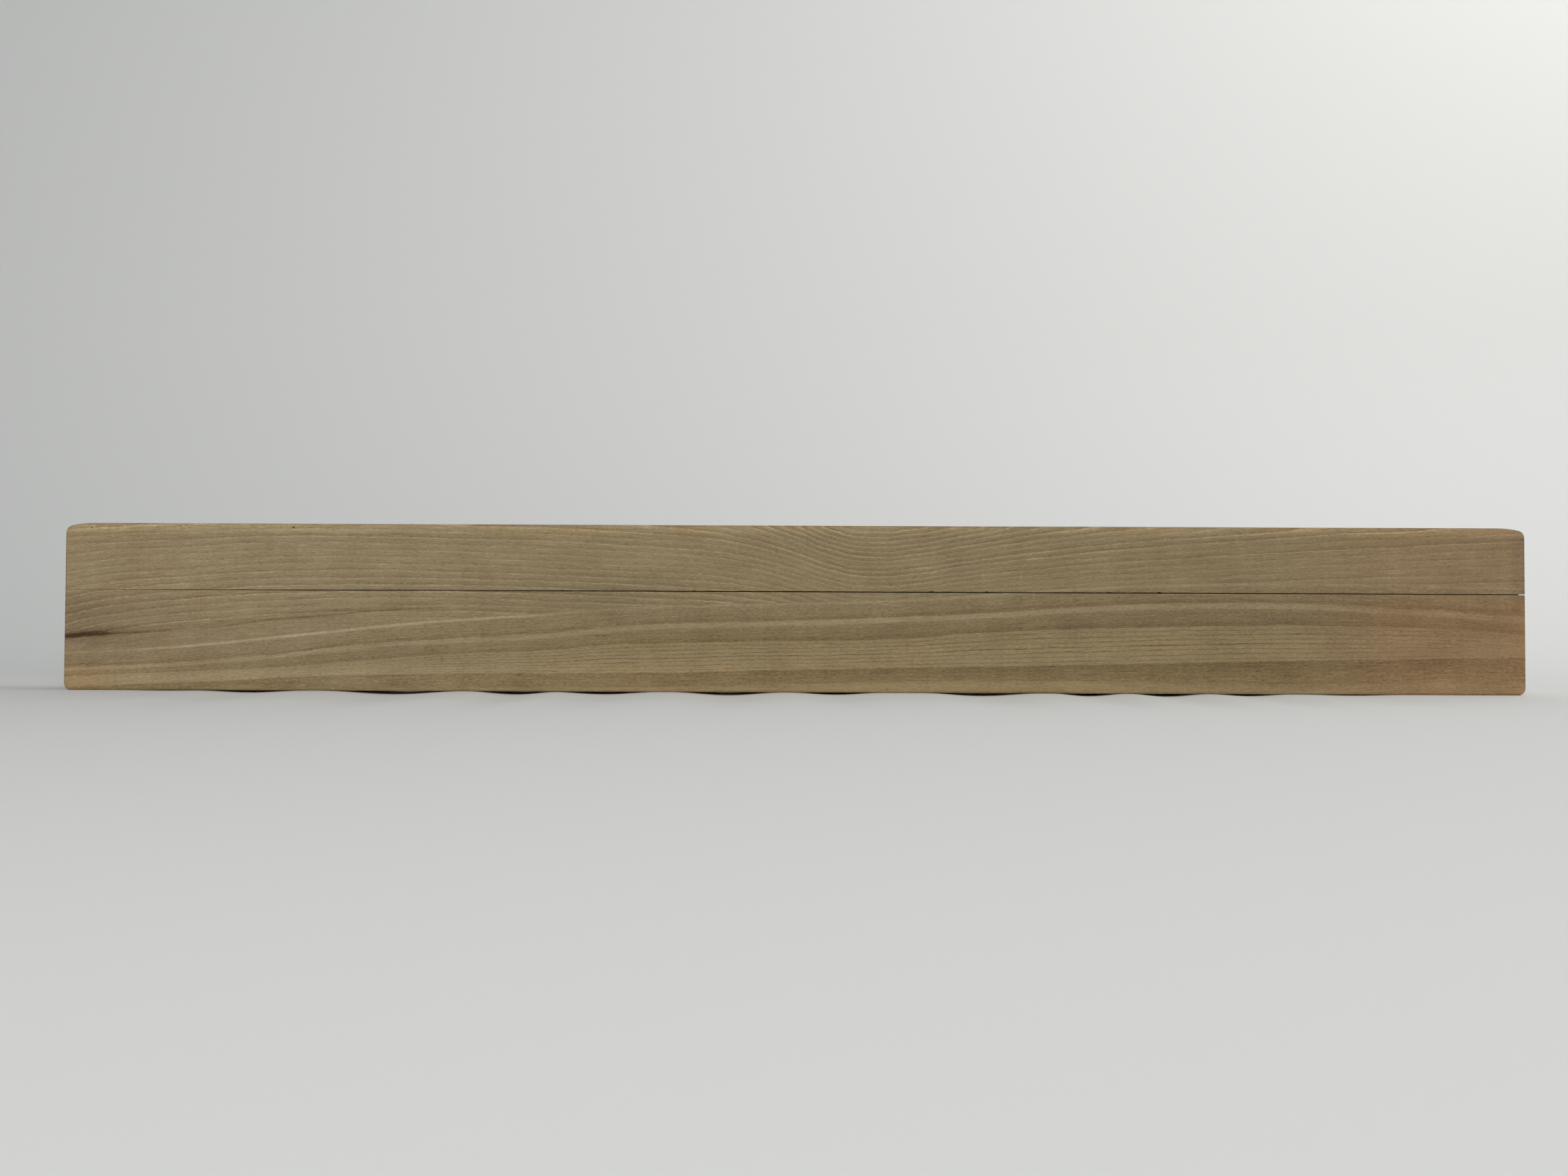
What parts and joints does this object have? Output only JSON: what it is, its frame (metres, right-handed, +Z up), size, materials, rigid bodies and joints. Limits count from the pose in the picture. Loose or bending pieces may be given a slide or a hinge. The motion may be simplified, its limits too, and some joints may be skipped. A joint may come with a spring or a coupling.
{
  "type": "knife magnetic rack",
  "caption": "Long plain wooden bar with soft edges, ripped and rejoined along one seam over hidden magnets, hung on keyhole plates let into its back.",
  "frame": {"origin": "centre of the back face, which lies on the wall", "axes": "+X along the rack to the right as seen from the front, +Y out of the back face towards the wall, +Z up; the knife face looks along -Y"},
  "size_m": [0.6096, 0.0254, 0.0698],
  "materials": {
    "rail_wood": "matt, sanded and lightly oiled",
    "dowel_wood": "raw",
    "keeper_steel": "mill",
    "magnet_nickel": "nickel plated",
    "hanger_steel": "zinc plated",
    "screw_steel": "zinc plated"
  },
  "bodies": {
    "root": {"upper_rail": "rail_wood", "lower_rail": "rail_wood", "keeper_strip": "keeper_steel", "dowels": "dowel_wood", "hanger_plate_left": "hanger_steel", "hanger_plate_right": "hanger_steel", "hanger_screws": "screw_steel", "magnet_01": "magnet_nickel", "magnet_02": "magnet_nickel", "magnet_03": "magnet_nickel", "magnet_04": "magnet_nickel", "magnet_05": "magnet_nickel", "magnet_06": "magnet_nickel", "magnet_07": "magnet_nickel", "magnet_08": "magnet_nickel", "magnet_09": "magnet_nickel", "magnet_10": "magnet_nickel", "magnet_11": "magnet_nickel", "magnet_12": "magnet_nickel", "magnet_13": "magnet_nickel"}
  },
  "joints": []
}
